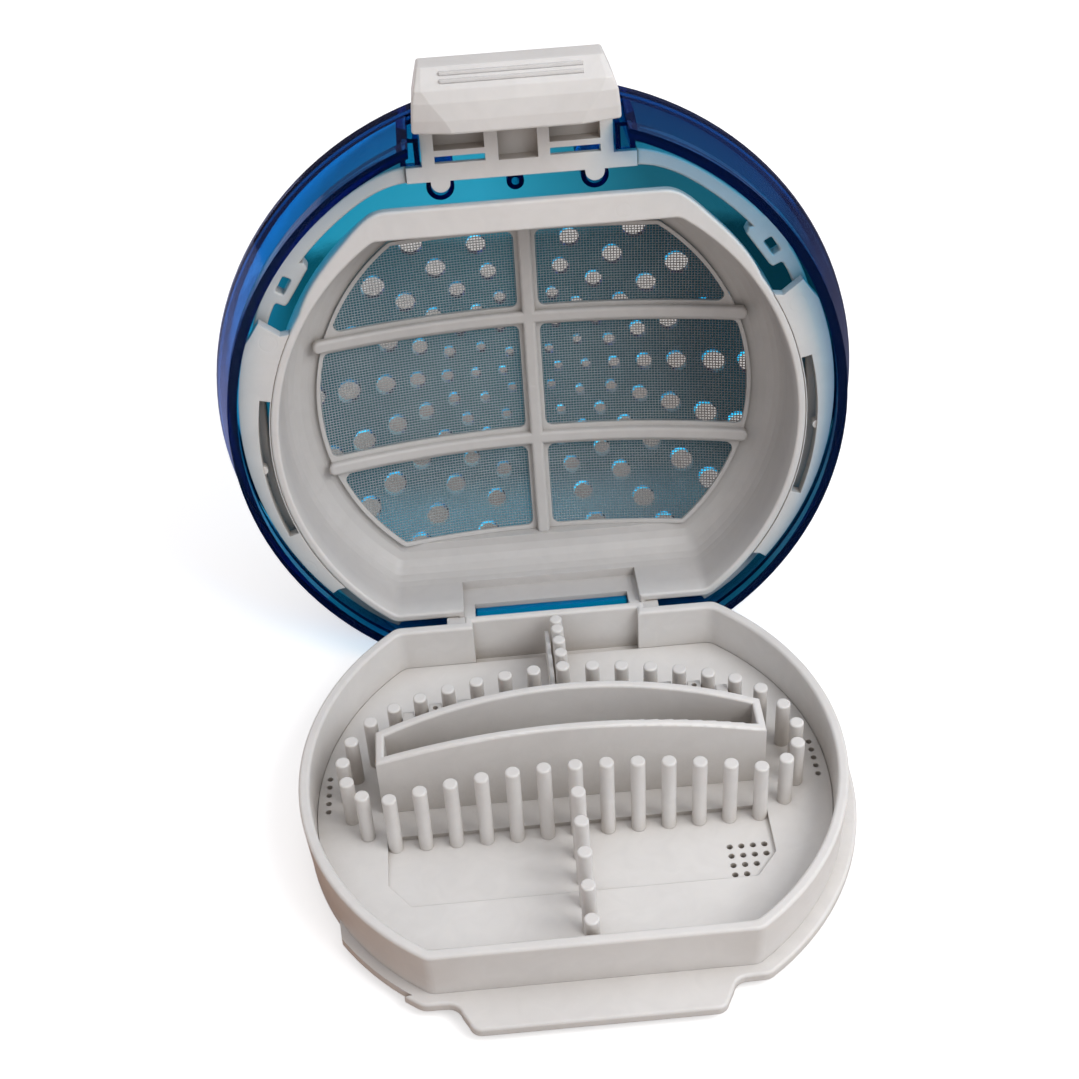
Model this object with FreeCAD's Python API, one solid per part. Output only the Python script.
import FreeCAD, Part
import os
import math

# Lint filter cartridge with a hinged comb tray, shown opened: the tray lies flat, the cover
# stands up behind it.  Millimetres, +Z up, origin on the resting plane under the centre of
# the tray rim circle, +Y towards the hinge.
# The cover is built in its own frame (x, v, w): x along the hinge, v away from the hinge
# axis, w out of the open face; w = 0 is the face plane.  place_cover() stands it up.
V3 = FreeCAD.Vector

# ---------------------------------------------------------------- driving dimensions
# A flatted outline is (circle radius, y of the low flat, y of the high flat).
CORNER_R = 3.5
WIDE_CORNER_R = 4.0

# tray flange and its foot ring
FLANGE_TOP = 4.5
FLANGE_T = 2.2
FLANGE_BASE = FLANGE_TOP - FLANGE_T
FLANGE_R = 64.5
FLANGE_FRONT = -53.3
TONGUE_TIP = -60.5
FOOT = (59.5, -48.5, 44.5)
FOOT_T = 2.2
PLATE_WINDOW = (56.0, -45.0, 41.0)
PLUG_GAP = 0.1            # clearance of the comb plate plug in the flange window

# tray rim
TRAY_BACK = 47.86         # outer back face of the rim wall
RIM_R = 62.0
RIM_FRONT = -51.44
RIM_TOP = 17.6
RIM_DRAFT = 0.7
RIM_T = 2.5
RIM = (RIM_R, RIM_FRONT, TRAY_BACK)
RIM_BASE = (RIM_R - RIM_DRAFT, RIM_FRONT + RIM_DRAFT, TRAY_BACK - 0.4)
RIM_BASE_INSIDE = (RIM_R - RIM_T - 0.4, RIM_FRONT + RIM_T + 0.4, TRAY_BACK - RIM_T - 0.3)
BULGE_HALF = 22.2         # rear wall set-back that fits the frame notch
BULGE_Y = 49.8

# comb plate and pins
FLOOR_Z = 6.0             # comb plate top
RECESS = 1.0              # depth of the shallow recess in the comb plate
PIN_D = 3.3
PIN_TOP_FILLET = 0.45
PIN_PITCH = 6.87
PINS_EACH_SIDE = 6        # front row, left and right of the middle pin
PIN_ROW_Y = -11.2
DOME_TOP = 28.2           # top of an imaginary pin at the tray centre
DOME_KX = 0.0035          # fall of the pin tops with x squared and y squared
DOME_KY = 0.0044

# inlet duct
DUCT_HALF = 44.0
DUCT_FRONT = -1.5
DUCT_BACK_END = 8.5
DUCT_BACK_MID = 13.1
DUCT_TOP_MID = 28.6
DUCT_TOP_END = 22.5
DUCT_T = 2.0
DUCT_BLANK_H = 40         # height before the top is trimmed

# hinge
HINGE_Y = 56.446
HINGE_Z = 2.722
OPEN_DEG = 99.56
PIN_R = 1.40
BORE_R = 1.46
KNUCKLE_R = 2.6
FACE_W = -2.08            # cover face plane, measured from the hinge axis along w
AXIS_W = -FACE_W          # hinge axis in the cover frame
BRACKET_X = (18.6, 22.0)
HINGE_PIN_END = 27.2
LEG_X = (22.4, 27.0)

# mesh frame of the cover
OPENING = (62.5, -48.36, 51.9)
OPENING_V = HINGE_Y       # lands on the tray centre when shut
WALL_T = 2.0
STRAIGHT = 13.5           # depth of the straight part of the frame wall
WALL_DRAFT = 0.15
COVE = 8.0
COVE_STEPS = 6
COVE_EXTRA = 1.6          # added thickness at the bottom of the cove
COLLAR_DEPTH = 26.5
COLLAR_T = 1.6
NOTCH_HALF = 22.5
LIP_T = 2.5

# mesh and ribs
MESH_MID = 30.0           # depth of the mesh centre under the face
MESH_R = 174.0            # spherical radius of the mesh panel
MESH_T = 0.35
MESH_CENTRE = V3(0, OPENING_V, MESH_R - MESH_MID)
RIB_W = 3.2
RIB_H = 2.7
GRID_HALF = 2.6           # half width of the flat grid strips under the raised bars
GRID_T = 0.8
CROSS_RIB_V = (41.4, 75.4)
BAR_V = (14.9, 101.5)     # ends of the upright bar
BAR_X = 53.4              # half length of the cross bars
BAR_END_R = 1.45

# side wings
COVER_V = 61.95           # centre of the outer cover and of the wing disc
WING_T = 3.0
WING = (71.1, -49.2, 31.0)
SLOT_R = 66.0
SLOT_W = 2.5
SLOT_ANGLES = (-19.5, 13.0)

# outer cover
REST_Z = 0.1              # height of the opened cover's flat foot
FOOT_TOP_W = -3.3
FOOT_WALL_T = 2.0

# spring arms and latch
ARM_W = (-8.6, -4.6)
YOKE_W = (-7.6, -3.6)
YOKE_X = (-22.2, 20.7)
YOKE_END_V = 134.9        # the yoke meets the cap here
CAP_BACK_W = -2.9


# ---------------------------------------------------------------- helpers
def save(name, shape):
    shape.exportStep("parts/%s.step" % name)


def outline_wire(segments, z, centre_y=0):
    """Wire from (x, y) tuples: two points make a line, three make an arc."""
    edges = []
    for segment in segments:
        points = [V3(x, centre_y + y, z) for x, y in segment]
        curve = Part.LineSegment if len(points) == 2 else Part.Arc
        edges.append(curve(*points).toShape())
    return Part.Wire(edges)


def mirrored_back(segments):
    """The same segments mirrored in x and run the other way."""
    return [tuple((-x, y) for x, y in reversed(s)) for s in reversed(segments)]


def inset(outline, distance):
    radius, low, high = outline
    return (radius - distance, low + distance, high - distance)


def flatted_circle(outline, z, corner=CORNER_R, centre_y=0):
    """Circle about (0, centre_y) cut by two flats, with rounded corners."""
    radius, low, high = outline
    inner_radius = radius - corner
    scale = radius / inner_radius

    def corner_arc(flat_y, y):
        # arc about (x, y), from the flat to the circle
        x = math.sqrt(inner_radius ** 2 - y ** 2)
        flat_end, circle_end = (x, flat_y), (x * scale, y * scale)
        dx = (flat_end[0] + circle_end[0]) / 2 - x
        dy = (flat_end[1] + circle_end[1]) / 2 - y
        length = math.hypot(dx, dy)
        return flat_end, (x + dx / length * corner, y + dy / length * corner), circle_end

    high_arc = corner_arc(high, high - corner)
    low_arc = corner_arc(low, low + corner)
    right = [high_arc, (high_arc[2], (radius, 0), low_arc[2]), low_arc[::-1]]
    (high_x, _), (low_x, _) = high_arc[0], low_arc[0]
    segments = [((-high_x, high), (high_x, high))] + right
    segments += [((low_x, low), (-low_x, low))] + mirrored_back(right)
    return outline_wire(segments, z, centre_y)


def prism(wire, height):
    return Part.Face(wire).extrude(V3(0, 0, height))


def disc(radius, z, height, centre_y=0):
    return prism(Part.Wire(Part.makeCircle(radius, V3(0, centre_y, z))), height)


def loft(wires):
    return Part.makeLoft(wires, True, True)


def box(x0, x1, y0, y1, z0, z1):
    return Part.makeBox(x1 - x0, y1 - y0, z1 - z0, V3(x0, y0, z0))


def x_cylinder(radius, x0, x1, y, z):
    return Part.makeCylinder(radius, x1 - x0, V3(x0, y, z), V3(1, 0, 0))


def polygon(vectors):
    return Part.makePolygon(vectors + [vectors[0]])


def plate(points, z, height, side=1, centre_y=0):
    """Upright prism on an (x, y) polygon; side -1 mirrors it in x."""
    return prism(polygon([V3(side * x, centre_y + y, z) for x, y in points]), height)


def side_plate(points, x0, thickness):
    """Plate with a (y, z) outline, from x0 towards +x."""
    to_side = FreeCAD.Matrix(0, 0, 1, x0, 1, 0, 0, 0, 0, 1, 0, 0, 0, 0, 0, 1)
    return plate(points, 0, thickness).transformGeometry(to_side)


def side_span(side, near, far):
    return sorted((side * near, side * far))


def spline(vectors):
    curve = Part.BSplineCurve()
    curve.interpolate(vectors)
    return curve.toShape()


def biggest(shape):
    return max(shape.Solids, key=lambda solid: solid.Volume)


def at_height(z, tolerance=1e-4):
    return lambda edge: (abs(edge.BoundBox.ZMin - z) < tolerance
                         and abs(edge.BoundBox.ZMax - z) < tolerance)


def taller_than(height):
    return lambda edge: edge.BoundBox.ZMax - edge.BoundBox.ZMin > height


def soften(shape, test, radii):
    """Round the edges picked by test, with the first radius that the shape takes."""
    edges = [e for e in shape.Edges if e.Length > 0.3 and test(e)]
    for radius in radii:
        # a radius too large for the shape makes the fillet fail; the next one is tried
        try:
            rounded = shape.makeFillet(radius, edges)
            if rounded.isValid() and rounded.Volume > 0.8 * shape.Volume:
                return rounded
        except Exception:
            pass
    return shape


# ================================================================ TRAY
# left half of the tongue outline, up to the left end of its tip
TONGUE_LEFT = [
    ((-33, FLANGE_FRONT + 6), (-32.6, FLANGE_FRONT)),
    ((-32.6, FLANGE_FRONT), (-31.0, FLANGE_FRONT - 0.1)),
    ((-31.0, FLANGE_FRONT - 0.1), (-29.3, FLANGE_FRONT - 0.9), (-28.3, FLANGE_FRONT - 2.6)),
    ((-28.3, FLANGE_FRONT - 2.6), (-26.9, TONGUE_TIP + 2.0)),
    ((-26.9, TONGUE_TIP + 2.0), (-25.9, TONGUE_TIP + 0.55), (-24.2, TONGUE_TIP)),
]
# (x, y) of the area where the left of the flange is cut flush with the wall
FLUSH_AREA = [(-90, -60), (-53.3, -35.0), (-53.9, -29.2), (-50, -20), (-50, 20),
              (-54.0, 26.5), (-58.0, 30.0), (-90, 30)]


def outer_flange_edge(edge):
    """Top edges round the outside of the flange, clear of its back and its window."""
    bounds, centre = edge.BoundBox, edge.CenterOfMass
    reach = max(abs(bounds.XMin), abs(bounds.XMax))
    if not at_height(FLANGE_TOP)(edge) or bounds.YMax >= 47:
        return False
    if abs(centre.x) < 30 and bounds.YMin > -50:
        return False
    if reach <= 24 or math.hypot(centre.x, centre.y) <= 50:
        return False
    return bounds.YMin < -53 or reach > 58


def flange_outside(radius):
    """Ring through the flange thickness, everything beyond the radius."""
    return disc(90, FLANGE_BASE - 0.01, FLANGE_T + 0.02).cut(disc(radius, 0, 10))


def build_flange():
    body = (FLANGE_R, FLANGE_FRONT, TRAY_BACK + 0.1)
    flange = prism(flatted_circle(body, FLANGE_BASE, WIDE_CORNER_R), FLANGE_T)
    start, tip = TONGUE_LEFT[0][0], TONGUE_LEFT[-1][-1]
    segments = TONGUE_LEFT + [(tip, (-tip[0], tip[1]))] + mirrored_back(TONGUE_LEFT)
    segments.append(((-start[0], start[1]), start))
    tongue = prism(outline_wire(segments, FLANGE_BASE), FLANGE_T)
    flange = flange.fuse(tongue).removeSplitter()
    flange = flange.fuse(
        box(-BULGE_HALF, BULGE_HALF, TRAY_BACK - 3, BULGE_Y, FLANGE_BASE, FLANGE_TOP))
    # foot ring under the flange
    foot = prism(flatted_circle(FOOT, 0, WIDE_CORNER_R), FLANGE_BASE)
    foot_inside = flatted_circle(inset(FOOT, FOOT_T), -1, WIDE_CORNER_R)
    foot = foot.cut(prism(foot_inside, FLANGE_BASE + 1))
    flange = flange.fuse(foot).removeSplitter()
    # the left side is cut back, and flush with the wall between two slanted steps
    flange = flange.cut(flange_outside(63.5).common(box(-90, 0, -50.5, 26, 0, 10)))
    flush = flange_outside(RIM_R - RIM_DRAFT).common(plate(FLUSH_AREA, 0, 10))
    flange = flange.cut(flush)
    # window that takes the comb plate
    flange = flange.cut(prism(flatted_circle(PLATE_WINDOW, -1, WIDE_CORNER_R), 10))
    return soften(flange, outer_flange_edge, (0.7, 0.5))


def build_rim():
    """Rim wall with drafted outside and rear set-back."""
    rim = loft([flatted_circle(RIM_BASE, FLANGE_TOP), flatted_circle(RIM, RIM_TOP)])
    rim = rim.fuse(box(-BULGE_HALF, BULGE_HALF, TRAY_BACK - 3, BULGE_Y, FLANGE_TOP, RIM_TOP))
    rim = rim.cut(loft([flatted_circle(RIM_BASE_INSIDE, FLANGE_TOP - 1),
                        flatted_circle(inset(RIM, RIM_T), RIM_TOP + 1)]))
    rim = rim.cut(box(-BULGE_HALF + 1.8, BULGE_HALF - 1.8, TRAY_BACK - 6, BULGE_Y - 2.0,
                      FLANGE_TOP - 1, RIM_TOP + 1))
    return soften(rim.removeSplitter(), at_height(RIM_TOP), (0.7, 0.5, 0.35))


def duct_plan(half, front, back_end, back_mid, z):
    """Plan of the duct: straight front and sides, arched back."""
    a, b = (-half, front), (half, front)
    c, d = (half, back_end), (-half, back_end)
    return outline_wire([(a, b), (b, c), (c, (0, back_mid), d), (d, a)], z)


def duct_block(z, height):
    return prism(duct_plan(DUCT_HALF, DUCT_FRONT, DUCT_BACK_END, DUCT_BACK_MID, z), height)


RECESS_AREA = [(-43.0, -9.0), (-43.0, -22.5), (-38.0, -28.8),
               (38.0, -28.8), (43.0, -22.5), (43.0, -9.0)]
# hole grid at the front right: holes in each row, first hole, steps in x and y
GRID_ROWS = (4, 4, 3, 2)
GRID_START = (33.1, -19.5)
GRID_STEP = (2.6, 2.62)
# hole columns near both sides: distance of each hole from the middle
EDGE_HOLE_X = (56.3, 56.4, 56.5, 56.55, 56.55)
EDGE_HOLE_Y = 10.3
EDGE_HOLE_PITCH = 2.5
EDGE_HOLE_SHIFT = 1.5     # the right column sits this much further forward


def build_comb_plate():
    """Floor with a shallow recess, small holes and the passage for the inlet duct."""
    floor = prism(flatted_circle(inset(RIM_BASE_INSIDE, 0.05), FLANGE_TOP),
                  FLOOR_Z - FLANGE_TOP)
    plug = flatted_circle(inset(PLATE_WINDOW, PLUG_GAP), FLANGE_BASE, WIDE_CORNER_R)
    floor = floor.fuse(prism(plug, FLANGE_T))
    recess = plate(RECESS_AREA, FLOOR_Z - RECESS, 5)
    front_corners = [e for e in recess.Edges if taller_than(1)(e) and e.BoundBox.YMax < -15]
    floor = floor.cut(recess.makeFillet(1.0, front_corners))
    floor = floor.cut(duct_block(-2, 20))
    holes = []
    for row, count in enumerate(GRID_ROWS):
        for column in range(count):
            x = GRID_START[0] + GRID_STEP[0] * column
            y = GRID_START[1] - GRID_STEP[1] * row
            holes.append(Part.makeCylinder(0.7, 12, V3(x, y, -2)))
    for i, x in enumerate(EDGE_HOLE_X):
        y = EDGE_HOLE_Y - EDGE_HOLE_PITCH * i
        holes.append(Part.makeCylinder(0.65, 12, V3(-x, y, -2)))
        holes.append(Part.makeCylinder(0.65, 12, V3(x, y - EDGE_HOLE_SHIFT, -2)))
    return floor.cut(Part.makeCompound(holes))


# (x, y) of the pins behind and beside the duct, right half
REAR_PINS = [(0, 20.9), (6.85, 20.4), (13.6, 19.9), (20.3, 19.4), (27.0, 18.8), (33.6, 18.0),
             (39.8, 16.9), (45.4, 14.3), (49.9, 9.6), (51.9, 3.7), (50.9, -2.7), (47.4, -8.0)]
RECESS_PINS_Y = (-18.2, -25.2)
FRONT_FLOOR_PINS_Y = (-32.2, -39.2, -46.0)
BACK_PINS_Y = (26.8, 32.6, 38.5, 43.8)


def comb_pin(x, y, base=FLOOR_Z, diameter=PIN_D):
    """Round pin whose top lies on the shallow dome over the tray."""
    top = DOME_TOP - DOME_KX * x * x - DOME_KY * y * y
    pin = Part.makeCylinder(diameter / 2, top - base, V3(x, y, base))
    rim_edges = [e for e in pin.Edges if at_height(top, 1e-6)(e)]
    return pin.makeFillet(PIN_TOP_FILLET, rim_edges)


def build_front_pins():
    places = range(-PINS_EACH_SIDE, PINS_EACH_SIDE + 1)
    return Part.makeCompound(
        [comb_pin(PIN_PITCH * i, PIN_ROW_Y, FLOOR_Z - RECESS) for i in places])


def build_rear_pins():
    pins = []
    for x, y in REAR_PINS:
        for side in ((1,) if x == 0 else (-1, 1)):
            pins.append(comb_pin(side * x, y))
    return Part.makeCompound(pins)


def build_centre_pins():
    pins = [comb_pin(0.0, y, FLOOR_Z - RECESS) for y in RECESS_PINS_Y]
    pins += [comb_pin(0.0, y) for y in FRONT_FLOOR_PINS_Y]
    pins += [comb_pin(0.0, y, diameter=PIN_D - 0.3) for y in BACK_PINS_Y]
    return Part.makeCompound(pins)


def build_duct():
    """Hollow box with an arched back and an arched top edge."""
    duct = duct_block(0, DUCT_BLANK_H)
    hollow = duct_plan(DUCT_HALF - DUCT_T, DUCT_FRONT + DUCT_T,
                       DUCT_BACK_END - DUCT_T + 0.2, DUCT_BACK_MID - DUCT_T, 0)
    duct = duct.cut(prism(hollow, DUCT_BLANK_H))
    rise = DUCT_TOP_MID - DUCT_TOP_END
    arch_r = (DUCT_HALF ** 2 + rise ** 2) / (2 * rise)
    arch = Part.makeCylinder(arch_r, 80, V3(0, -40, DUCT_TOP_MID - arch_r), V3(0, 1, 0))
    duct = duct.cut(box(-60, 60, -30, 40, 15, 60).cut(arch))
    duct = soften(duct, lambda e: e.BoundBox.ZMin > 20
                  and e.BoundBox.ZMax < DUCT_TOP_MID + 0.1, (0.6, 0.4))
    # upright outer edges at both ends
    return soften(duct, lambda e: e.BoundBox.ZMin < 0.1 and e.BoundBox.ZMax > 20
                  and abs(e.CenterOfMass.x) > 43.5, (0.8, 0.5))


# (y, z) outline of the upright rib behind the duct
RIB_OUTLINE = [(DUCT_BACK_MID + 0.1, FLOOR_Z), (45.3, FLOOR_Z), (45.3, 14.5), (38, 17.5),
               (30, 19.5), (22.6, 20.5), (DUCT_BACK_MID + 0.1, 20.5)]
# blocks behind the duct, on both sides: x, y, top, half width, bored from above
DUCT_BLOCKS = [(36.7, 16.6, 18.3, 1.3, False), (30.3, 17.6, 19.3, 1.5, True),
               (23.65, 18.4, 19.0, 1.5, False)]


def build_centre_rib(duct):
    """Thin rib beside the rear centre pins, with the small blocks behind the duct."""
    pieces = [side_plate(RIB_OUTLINE, -2.9, 1.0).cut(duct)]
    for side in (-1, 1):
        for x, y, top, half, bored in DUCT_BLOCKS:
            x *= side
            block = box(x - half, x + half, y - 1.6, y + 1.4, FLOOR_Z, top)
            if bored:
                block = block.cut(Part.makeCylinder(0.6, 4, V3(x, y, top - 3)))
            pieces.append(block.cut(duct_block(0, DUCT_BLANK_H)))
    return Part.makeCompound(pieces)


def build_hinge_brackets(flange, rim):
    root = TRAY_BACK + 0.1
    outline = [(root, FLANGE_BASE), (root, FLANGE_TOP), (HINGE_Y - 1.9, FLANGE_TOP),
               (HINGE_Y, HINGE_Z + KNUCKLE_R), (HINGE_Y, HINGE_Z - KNUCKLE_R),
               (HINGE_Y - 2, HINGE_Z - KNUCKLE_R)]
    brackets = []
    for side in (-1, 1):
        x0, x1 = side_span(side, *BRACKET_X)
        bracket = side_plate(outline, x0, x1 - x0)
        bracket = bracket.fuse(x_cylinder(KNUCKLE_R, x0, x1, HINGE_Y, HINGE_Z))
        bracket = bracket.cut(flange).cut(rim)
        brackets.append(bracket.cut(x_cylinder(PIN_R, -30, 30, HINGE_Y, HINGE_Z)))
    return Part.makeCompound(brackets)


def build_hinge_pins():
    spans = [side_span(side, BRACKET_X[0], HINGE_PIN_END) for side in (-1, 1)]
    return Part.makeCompound([x_cylinder(PIN_R, a, b, HINGE_Y, HINGE_Z) for a, b in spans])


# ================================================================ COVER (x, v, w)
COVER_TURN = FreeCAD.Rotation(V3(1, 0, 0), 180.0 - OPEN_DEG)
V_DIR = COVER_TURN.multVec(V3(0, 1, 0))
W_DIR = COVER_TURN.multVec(V3(0, 0, 1))
COVER_PLACE = FreeCAD.Placement(V3(0, HINGE_Y, HINGE_Z) + W_DIR * FACE_W, COVER_TURN)


def place_cover(shape):
    """Copy of a cover piece, stood up on the hinge."""
    placed = shape.copy()
    placed.Placement = COVER_PLACE.multiply(placed.Placement)
    return placed


def opening_wire(offset, w, corner=CORNER_R):
    """Outline of the frame opening, moved inwards by offset."""
    return flatted_circle(inset(OPENING, offset), w, max(1.2, corner - 0.2 * offset), OPENING_V)


def mesh_sphere(radius):
    return Part.makeSphere(radius, MESH_CENTRE)


def mesh_shell(height0, height1):
    """Spherical shell between two heights above the mesh, on its face side."""
    return mesh_sphere(MESH_R - height0).cut(mesh_sphere(MESH_R - height1))


def cove_loft(start, extra_depth):
    """Straight drafted wall that ends in a quarter round cove, from an inset of start."""
    stations = [(start, 0.0), (start + WALL_DRAFT, -STRAIGHT)]
    for k in range(1, COVE_STEPS + 1):
        angle = math.radians(90 / COVE_STEPS * k)
        stations.append((
            start + WALL_DRAFT + (COVE - WALL_DRAFT) * (1 - math.cos(angle)),
            -STRAIGHT - (COVE + extra_depth) * math.sin(angle)))
    return loft([opening_wire(offset, w) for offset, w in stations])


# (x, v) of the right end of the wide lip beyond the opening
LIP_SIDE = [(54.6, 89.3), (53.2, 93.3), (50.4, 98.3), (46.2, 103.6),
            (41.2, 108.9), (37.6, 112.4), (34.7, 114.4), (31.2, 115.2)]


def build_top_lip():
    right = [V3(x, v, -LIP_T) for x, v in LIP_SIDE]
    left = [V3(-x, v, -LIP_T) for x, v in reversed(LIP_SIDE)]
    wire = Part.Wire([
        spline(right),
        Part.LineSegment(right[-1], left[0]).toShape(),
        spline(left),
        Part.LineSegment(left[-1], right[0]).toShape(),
    ])
    return prism(wire, LIP_T)


def build_frame():
    """Mesh frame with sharp edges: coved wall, window collar, lip and hinge side notch."""
    collar = prism(opening_wire(COVE - COLLAR_T, -COLLAR_DEPTH),
                   COLLAR_DEPTH - STRAIGHT - COVE + 0.3)
    frame = cove_loft(-WALL_T, COVE_EXTRA).fuse(collar).fuse(build_top_lip())
    notch_wall = box(-NOTCH_HALF - 1.6, NOTCH_HALF + 1.6, 4.4, 9.5, -STRAIGHT - 1.5, 0)
    frame = frame.fuse(notch_wall).removeSplitter()
    frame = frame.cut(cove_loft(0.0, 0.0))
    frame = frame.cut(prism(opening_wire(COVE, -COLLAR_DEPTH - 1), COLLAR_DEPTH + 2))
    frame = frame.cut(box(-NOTCH_HALF, NOTCH_HALF, 5.9, 12, -STRAIGHT, 1))
    frame = frame.cut(box(-19.7, 19.7, 3.0, 6.5, -6.0, 1))
    # the collar ends just below the spherical mesh
    beyond_mesh = box(-80, 80, -40, 140, -60, -STRAIGHT).cut(mesh_sphere(MESH_R + 1.2))
    return frame.cut(beyond_mesh).removeSplitter()


# slanted cuts at the wing ends, right side: (x, v from the opening centre)
WING_LOW_CUT = [(30, -30), (50.6, -38.4), (53.4, -38.9), (60, -43.5), (66, -50), (30, -60)]
WING_TOP_CUT = [(40, 29.0), (56.3, 31.3), (58.6, 31.0), (63.2, 34.6), (65.6, 31.2),
                (68.5, 27.6), (80, 27.6), (80, 60), (40, 60)]


def build_wings(frame):
    """Side wings with long curved slots and a round nub beside each slot."""
    inner_r, outer_r = SLOT_R - SLOT_W / 2, SLOT_R + SLOT_W / 2
    start, end = (math.radians(a) for a in SLOT_ANGLES)
    middle = (start + end) / 2
    slots, nubs = [], []
    for side in (-1, 1):
        def on_arc(radius, angle):
            return (side * radius * math.cos(angle), radius * math.sin(angle))

        inner = tuple(on_arc(inner_r, a) for a in (start, middle, end))
        outer = tuple(on_arc(outer_r, a) for a in (end, middle, start))
        segments = [inner, (inner[2], outer[0]), outer, (outer[2], inner[0])]
        slots.append(prism(outline_wire(segments, -6, OPENING_V), 10))
        x, v = on_arc(outer_r + 0.1, middle)
        nubs.append(Part.makeCylinder(1.1, WING_T - 0.8, V3(x, OPENING_V + v, -WING_T + 0.2)))
    wing = prism(flatted_circle(WING, -WING_T, 3.0, COVER_V), WING_T)
    wing = wing.cut(prism(opening_wire(-WALL_T, -WING_T - 1), WING_T + 2))
    for side in (-1, 1):
        for outline in (WING_LOW_CUT, WING_TOP_CUT):
            wing = wing.cut(plate(outline, -5, 8, side, OPENING_V))
    wing = wing.cut(box(-30, 30, -20, 140, -10, 5))
    for slot in slots:
        wing = wing.cut(slot)
    for nub in nubs:
        wing = wing.fuse(nub)
    # small slivers left by the cuts are dropped
    halves = [solid for solid in wing.Solids if solid.Volume > 50]
    return Part.makeCompound([biggest(half.cut(frame)) for half in halves])


def build_hinge_legs(frame):
    """Legs with knuckles that take the stub pins of the tray."""
    legs = []
    for side in (-1, 1):
        x0, x1 = side_span(side, *LEG_X)
        leg = box(x0, x1, 0, 6.05, -3.0, AXIS_W + KNUCKLE_R)
        leg = leg.fuse(x_cylinder(KNUCKLE_R, x0, x1, 0, AXIS_W))
        leg = leg.cut(x_cylinder(BORE_R, -40, 40, 0, AXIS_W)).cut(frame)
        legs.append(biggest(leg))
    return Part.makeCompound(legs)


def mesh_window():
    return prism(opening_wire(COVE + 0.02, -40), 30)


def build_mesh():
    sheet = mesh_sphere(MESH_R + MESH_T).cut(mesh_sphere(MESH_R))
    return biggest(mesh_window().common(sheet))


def build_grid():
    """Flat window grid: a thin shell with round-cornered panes cut out."""
    panes = prism(opening_wire(COVE + 1.0, -45, 3.0), 30)
    panes = panes.cut(box(-GRID_HALF, GRID_HALF, -10, 130, -50, -10))
    for v in CROSS_RIB_V:
        panes = panes.cut(box(-80, 80, v - GRID_HALF, v + GRID_HALF, -50, -10))
    rounded = [soften(pane, taller_than(20), (1.8, 1.2, 0.8)) for pane in panes.Solids]
    return mesh_window().common(mesh_shell(0, GRID_T)).cut(Part.makeCompound(rounded))


def build_bar(x0, x1, v0, v1, shell):
    """Raised bar with rounded ends and, where it takes them, rounded top edges."""
    bar = box(x0, x1, v0, v1, -45, -15)
    bar = bar.makeFillet(BAR_END_R, [e for e in bar.Edges if taller_than(20)(e)])
    bar = bar.common(shell)

    def on_top(vertex):
        return abs((vertex.Point - MESH_CENTRE).Length - (MESH_R - RIB_H)) < 0.01

    top_edges = [e for e in bar.Edges if all(on_top(vertex) for vertex in e.Vertexes)]
    # the fillet may fail on the curved top; the bar then keeps sharp top edges
    try:
        rounded = bar.makeFillet(0.8, top_edges)
        if rounded.isValid():
            bar = rounded
    except Exception:
        pass
    return bar


def build_ribs(frame):
    """Ribs in two levels: flat window grid and raised bars."""
    half = RIB_W / 2
    spans = [(-half, half) + BAR_V]
    spans += [(-BAR_X, BAR_X, v - half, v + half) for v in CROSS_RIB_V]
    shell = mesh_shell(GRID_T - 0.2, RIB_H)
    ribs = build_grid()
    for span in spans:
        ribs = ribs.fuse(build_bar(*span, shell))
    return biggest(ribs.cut(frame).removeSplitter())


# Outer cover section, (radius, w): flared outer wall, outer dome, inner dome, inner wall
WALL_OUTER = [(73.4, 4.48), (73.7, 0.0), (77.2, -11.0), (77.4, -13.0), (76.2, -14.2)]
DOME_OUTER = [(76.2, -14.2), (72.6, -22.0), (64.5, -28.5), (52.0, -33.0),
              (38.0, -36.3), (20.0, -38.5), (0.0, -39.2)]
DOME_INNER = [(0.0, -37.2), (19.8, -36.5), (37.5, -34.3), (51.2, -31.1),
              (63.0, -26.8), (70.4, -20.9), (73.6, -14.2)]
WALL_INNER = [(73.6, -14.2), (75.2, -12.4), (75.0, -11.0), (71.5, 0.0), (71.1, 4.48)]
# filled bodies inside the cover wall: one trims the flat foot, one the posts and bosses
FOOT_LIMIT = [(0, FOOT_TOP_W), (73.2, FOOT_TOP_W), (76.2, -12.4), (75.0, -14.2),
              (71.6, -21.6), (63.9, -27.8), (51.6, -32.2), (37.8, -35.5), (19.9, -37.6),
              (0.0, -38.3), (0, FOOT_TOP_W)]
POST_LIMIT = [(0, 4), (73.0, 4), (73.0, -1.0), (76.0, -11.5), (71.5, -21.4),
              (63.7, -27.4), (51.6, -31.9), (0, -37.9), (0, 4)]
GUIDE_POST_X = (-26.9, 21.0)          # left face of each channel post
# bosses beside the latch: x, v, radius, top w
BOSSES = [(-18.6, 117.3, 3.2, -8.4), (16.6, 117.3, 3.2, -8.4), (-1.5, 116.8, 2.0, -9.5)]
# perforation rings: ring radius, holes, hole diameter
HOLE_RINGS = [(7.2, 8, 2.4), (14.3, 12, 2.6), (21.6, 20, 3.2), (29.4, 20, 4.2),
              (37.6, 20, 5.0), (47.0, 20, 5.8), (56.0, 20, 6.0)]
HOLES_TOP_V = 101.0


def section_points(points):
    return [V3(radius, COVER_V, w) for radius, w in points]


def section_lines(points):
    ends = section_points(points)
    return [Part.LineSegment(a, b).toShape() for a, b in zip(ends[:-1], ends[1:])]


def revolved(edges):
    return Part.Face(Part.Wire(edges)).revolve(V3(0, COVER_V, 0), V3(0, 0, 1), 360)


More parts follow.
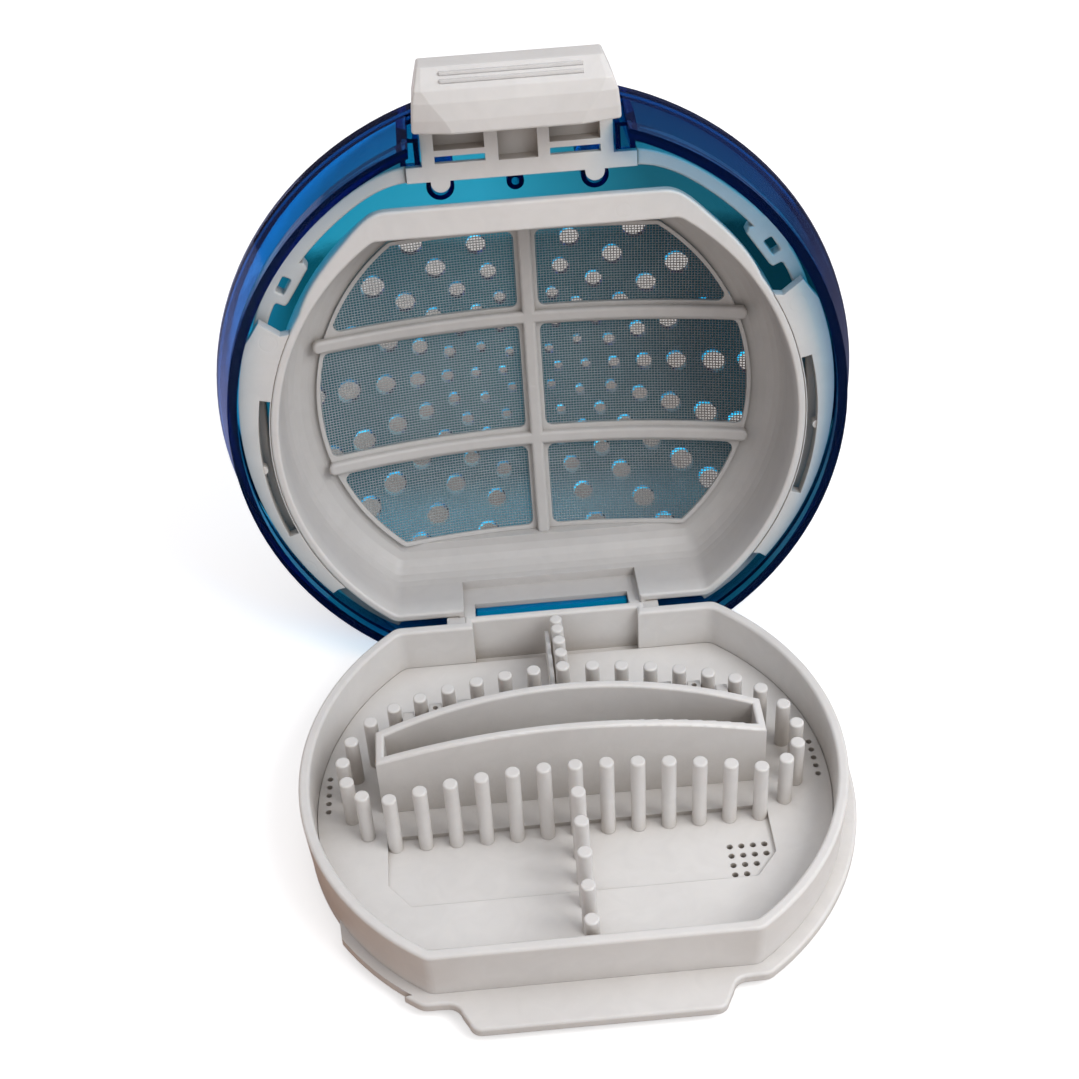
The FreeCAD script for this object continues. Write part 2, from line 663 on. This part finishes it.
def foot_v(w):
    """v at which the opened cover meets the resting height, at depth w."""
    return (REST_Z - HINGE_Z - FACE_W * W_DIR.z - w * W_DIR.z) / V_DIR.z


def foot_slab(shift, thickness, w0=FOOT_TOP_W, w1=-60.0, half=90):
    """Slab parallel to the resting plane, starting shift along v from it."""
    near0, near1 = foot_v(w0) + shift, foot_v(w1) + shift
    corners = [(near0, w0), (near0 + thickness, w0), (near1 + thickness, w1), (near1, w1)]
    face = Part.Face(polygon([V3(-half, v, w) for v, w in corners]))
    return face.extrude(V3(2 * half, 0, 0))


def perforations():
    holes = []
    for ring_radius, count, diameter in HOLE_RINGS:
        for i in range(count):
            angle = 2 * math.pi * i / count
            x = ring_radius * math.cos(angle)
            v = OPENING_V + ring_radius * math.sin(angle)
            if foot_v(-38) + 6.5 < v < HOLES_TOP_V:
                holes.append(Part.makeCylinder(diameter / 2, 46, V3(x, v, -60)))
    return Part.makeCompound(holes)


def build_outer_cover():
    """Flared wall with a domed perforated back and a flat foot at the hinge side."""
    edges = section_lines(WALL_OUTER)
    edges.append(spline(section_points(DOME_OUTER)))
    edges += section_lines([DOME_OUTER[-1], DOME_INNER[0]])
    edges.append(spline(section_points(DOME_INNER)))
    edges += section_lines(WALL_INNER)
    edges += section_lines([WALL_INNER[-1], WALL_OUTER[0]])
    cover = revolved(edges)
    cover = cover.cut(foot_slab(-200, 200, 20.0, -60.0, 120))
    foot_wall = revolved(section_lines(FOOT_LIMIT)).common(foot_slab(0, FOOT_WALL_T))
    cover = cover.fuse(foot_wall)
    # low lip in front of the notch
    cover = cover.fuse(box(-19.4, 19.4, -1.2, 4.6, -5.8, -3.9))
    # ledge under the wings
    ledge = disc(71.9, -4.2, 1.15, COVER_V).cut(disc(69.9, -5, 4, COVER_V))
    ledge = ledge.cut(box(-90, 90, OPENING_V + 30, 200, -10, 10))
    ledge = ledge.cut(box(-90, 90, -90, OPENING_V - 36, -10, 10))
    cover = cover.fuse(ledge)
    # opening in the rim for the latch, with channel posts beside it
    cover = cover.cut(box(-24.8, 23.4, 122, 150, -8.6, 10))
    inside = revolved(section_lines(POST_LIMIT))
    for x in GUIDE_POST_X:
        post = box(x, x + 4.4, 124.9, 131.0, -30.0, -1.6)
        post = post.cut(box(x + 1.2, x + 3.2, 120.0, 129.8, -31.0, -2.8))
        cover = cover.fuse(post.common(inside))
    for x, v, radius, top in BOSSES:
        boss = Part.makeCylinder(radius, 34 + top, V3(x, v, -34))
        boss = boss.cut(Part.makeCylinder(radius - 1.1, 6, V3(x, v, top - 5)))
        cover = cover.fuse(boss.common(inside))
    return biggest(cover.cut(perforations()))


# spring arm centre line, right side, from the latch towards the hinge: x, v, half width
ARM = [
    (25.95, 121.9, 2.0), (30.0, 121.1, 1.8), (34.6, 119.3, 1.7), (40.6, 115.7, 1.7),
    (47.4, 110.4, 1.75), (53.1, 104.9, 1.85), (57.6, 99.3, 1.85), (60.6, 94.7, 1.75),
    (62.7, 90.3, 1.65), (64.8, 83.0, 1.55), (65.6, 76.0, 1.45), (66.1, 69.6, 1.35),
    (66.5, 62.0, 1.3), (66.4, 50.0, 1.3), (64.7, 39.8, 1.3), (61.8, 31.0, 1.3),
    (58.0, 23.6, 1.3), (52.6, 15.2, 1.35), (44.6, 7.0, 1.4), (38.9, 3.1, 1.4),
]
# (x, v) of the buckle in each arm beside the shoulder of the frame, and of its slot
BUCKLE = [(54.3, 106.0), (56.0, 105.3), (60.2, 101.0), (60.8, 97.9), (62.4, 94.6), (60.4, 92.4),
          (58.9, 93.7), (56.9, 92.8), (56.0, 93.6), (50.6, 101.5), (51.3, 103.0), (53.0, 103.2)]
BUCKLE_SLOT = [(54.7, 99.2), (56.5, 100.2), (58.7, 96.8), (57.0, 95.7)]


def arm_ribbon(side):
    """Smooth ribbon along the arm centre line, square to x at the latch."""
    stations = [(side * x, v, half) for x, v, half in ARM]
    edge_a, edge_b = [], []
    for i, (x, v, half) in enumerate(stations):
        before = stations[max(0, i - 1)]
        after = stations[min(len(stations) - 1, i + 1)]
        along_x, along_v = after[0] - before[0], after[1] - before[1]
        if i == 0:
            along_x, along_v = side, 0.0
        length = math.hypot(along_x, along_v)
        normal_x, normal_v = -along_v / length, along_x / length
        edge_a.append(V3(x + normal_x * half, v + normal_v * half, ARM_W[0]))
        edge_b.append(V3(x - normal_x * half, v - normal_v * half, ARM_W[0]))
    wire = Part.Wire([
        spline(edge_a),
        Part.LineSegment(edge_a[-1], edge_b[-1]).toShape(),
        spline(edge_b),
        Part.LineSegment(edge_b[0], edge_a[0]).toShape(),
    ])
    return prism(wire, ARM_W[1] - ARM_W[0])


def build_spring_arm(side):
    """Long flat spring running from the latch yoke under the wing."""
    buckle = plate(BUCKLE, ARM_W[0], ARM_W[1] - ARM_W[0], side)
    buckle = soften(buckle, taller_than(3.9), (0.5, 0.3))
    slot = soften(plate(BUCKLE_SLOT, -20, 40, side), taller_than(30), (0.4, 0.25))
    arm = arm_ribbon(side).fuse(buckle).removeSplitter().cut(slot)
    return soften(biggest(arm), at_height(ARM_W[1]), (0.5, 0.3))


# ================================================================ LATCH (x, v, w)
YOKE_WINDOWS_X = ((-19.3, -8.0), (6.5, 17.8))
PEG_X = (-18.4, 16.3)
PEG_R = 2.2
# cap sections: v, left x, right x, w at the sides, w of the face, width of corner facet
CAP_SECTIONS = [
    (134.9, -23.5, 21.7, 7.9, 10.4, 9.0),
    (138.0, -23.3, 21.5, 8.9, 10.6, 7.2),
    (141.8, -22.9, 21.1, 9.5, 10.3, 4.0),
    (144.4, -22.3, 20.2, 9.0, 9.5, 1.6),
    (148.3, -21.3, 18.6, 4.8, 5.3, 1.0),
]
GRIP_LINES = ((145.7, 8.0), (147.0, 6.6))     # (v, w) of the two ridges


def build_yoke():
    low, high = YOKE_W
    yoke = box(-25.9, 25.9, 120.1, 123.7, low, high)
    yoke = yoke.fuse(box(*YOKE_X, 123.7, YOKE_END_V, low, high)).removeSplitter()
    for x0, x1 in YOKE_WINDOWS_X:
        yoke = yoke.cut(box(x0, x1, 124.2, 125.8, -10, 0))
        yoke = yoke.cut(box(x0, x1, 127.2, 131.5, -10, 0))
        # thin face beside the low slots
        yoke = yoke.cut(box(x0, x1, 121.2, 125.8, -10, -5.0))
    yoke = yoke.cut(box(-5.0, 3.8, 124.0, 131.5, -10, 0))
    # thin back plate behind the middle window and the upper side windows
    back = box(-20.9, 19.4, 126.1, 132.6, -8.3, -7.5)
    yoke = yoke.fuse(back.fuse(box(-6.0, 4.8, 121.0, 126.2, -8.3, -7.5)))
    for x in PEG_X:
        peg = box(x - PEG_R, x + PEG_R, 119.6, 120.2, low, high)
        yoke = yoke.fuse(peg.fuse(Part.makeCylinder(PEG_R, high - low, V3(x, 119.7, low))))
    return soften(yoke.removeSplitter(), at_height(high), (0.5, 0.3))


def cap_section(v, x0, x1, side_w, face_w, facet):
    """Closed section of the cap, with a slanted facet at each corner of its face."""
    corners = [(x0, CAP_BACK_W), (x1, CAP_BACK_W), (x1, side_w), (x1 - facet, face_w),
               (x0 + facet, face_w), (x0, side_w)]
    return polygon([V3(x, v, w) for x, w in corners])


def build_cap():
    cap = loft([cap_section(*row) for row in CAP_SECTIONS])
    cap = soften(cap, lambda edge: True, (0.7, 0.5, 0.35, 0.25))
    neck = box(*YOKE_X, YOKE_END_V, 140.0, YOKE_W[0], CAP_BACK_W)
    return cap.fuse(neck).removeSplitter()


def build_grips(cap):
    """Two ridges across the top slope of the cap."""
    ridges = [box(-16.6, 14.0, v - 0.4, v + 0.5, w - 0.9, w + 0.42) for v, w in GRIP_LINES]
    return Part.makeCompound([biggest(ridge.cut(cap)) for ridge in ridges])


# ================================================================ build and write
os.makedirs("parts", exist_ok=True)

base_flange = build_flange()
rim_wall = build_rim()
inlet_duct = build_duct()
save("base_flange", base_flange)
save("rim_wall", rim_wall)
save("comb_plate", build_comb_plate())
save("comb_pins_front", build_front_pins())
save("comb_pins_rear", build_rear_pins())
save("comb_pins_centre", build_centre_pins())
save("inlet_duct", inlet_duct)
save("centre_rib", build_centre_rib(inlet_duct))
save("hinge_brackets", build_hinge_brackets(base_flange, rim_wall))
save("hinge_pins", build_hinge_pins())

# neighbours are cut with the sharp frame; only the saved frame has its face edges rounded
sharp_frame = build_frame()
latch_cap = build_cap()
cover_pieces = {
    "mesh_frame": soften(sharp_frame, at_height(0.0), (0.6, 0.4, 0.3)),
    "side_wings": build_wings(sharp_frame),
    "hinge_legs": build_hinge_legs(sharp_frame),
    "filter_mesh": build_mesh(),
    "frame_ribs": build_ribs(sharp_frame),
    "outer_cover": build_outer_cover(),
    "spring_arm_left": build_spring_arm(-1),
    "spring_arm_right": build_spring_arm(1),
    "latch_yoke": build_yoke(),
    "latch_cap": latch_cap,
    "latch_grips": build_grips(latch_cap),
}
for piece_name, piece in cover_pieces.items():
    save(piece_name, place_cover(piece))
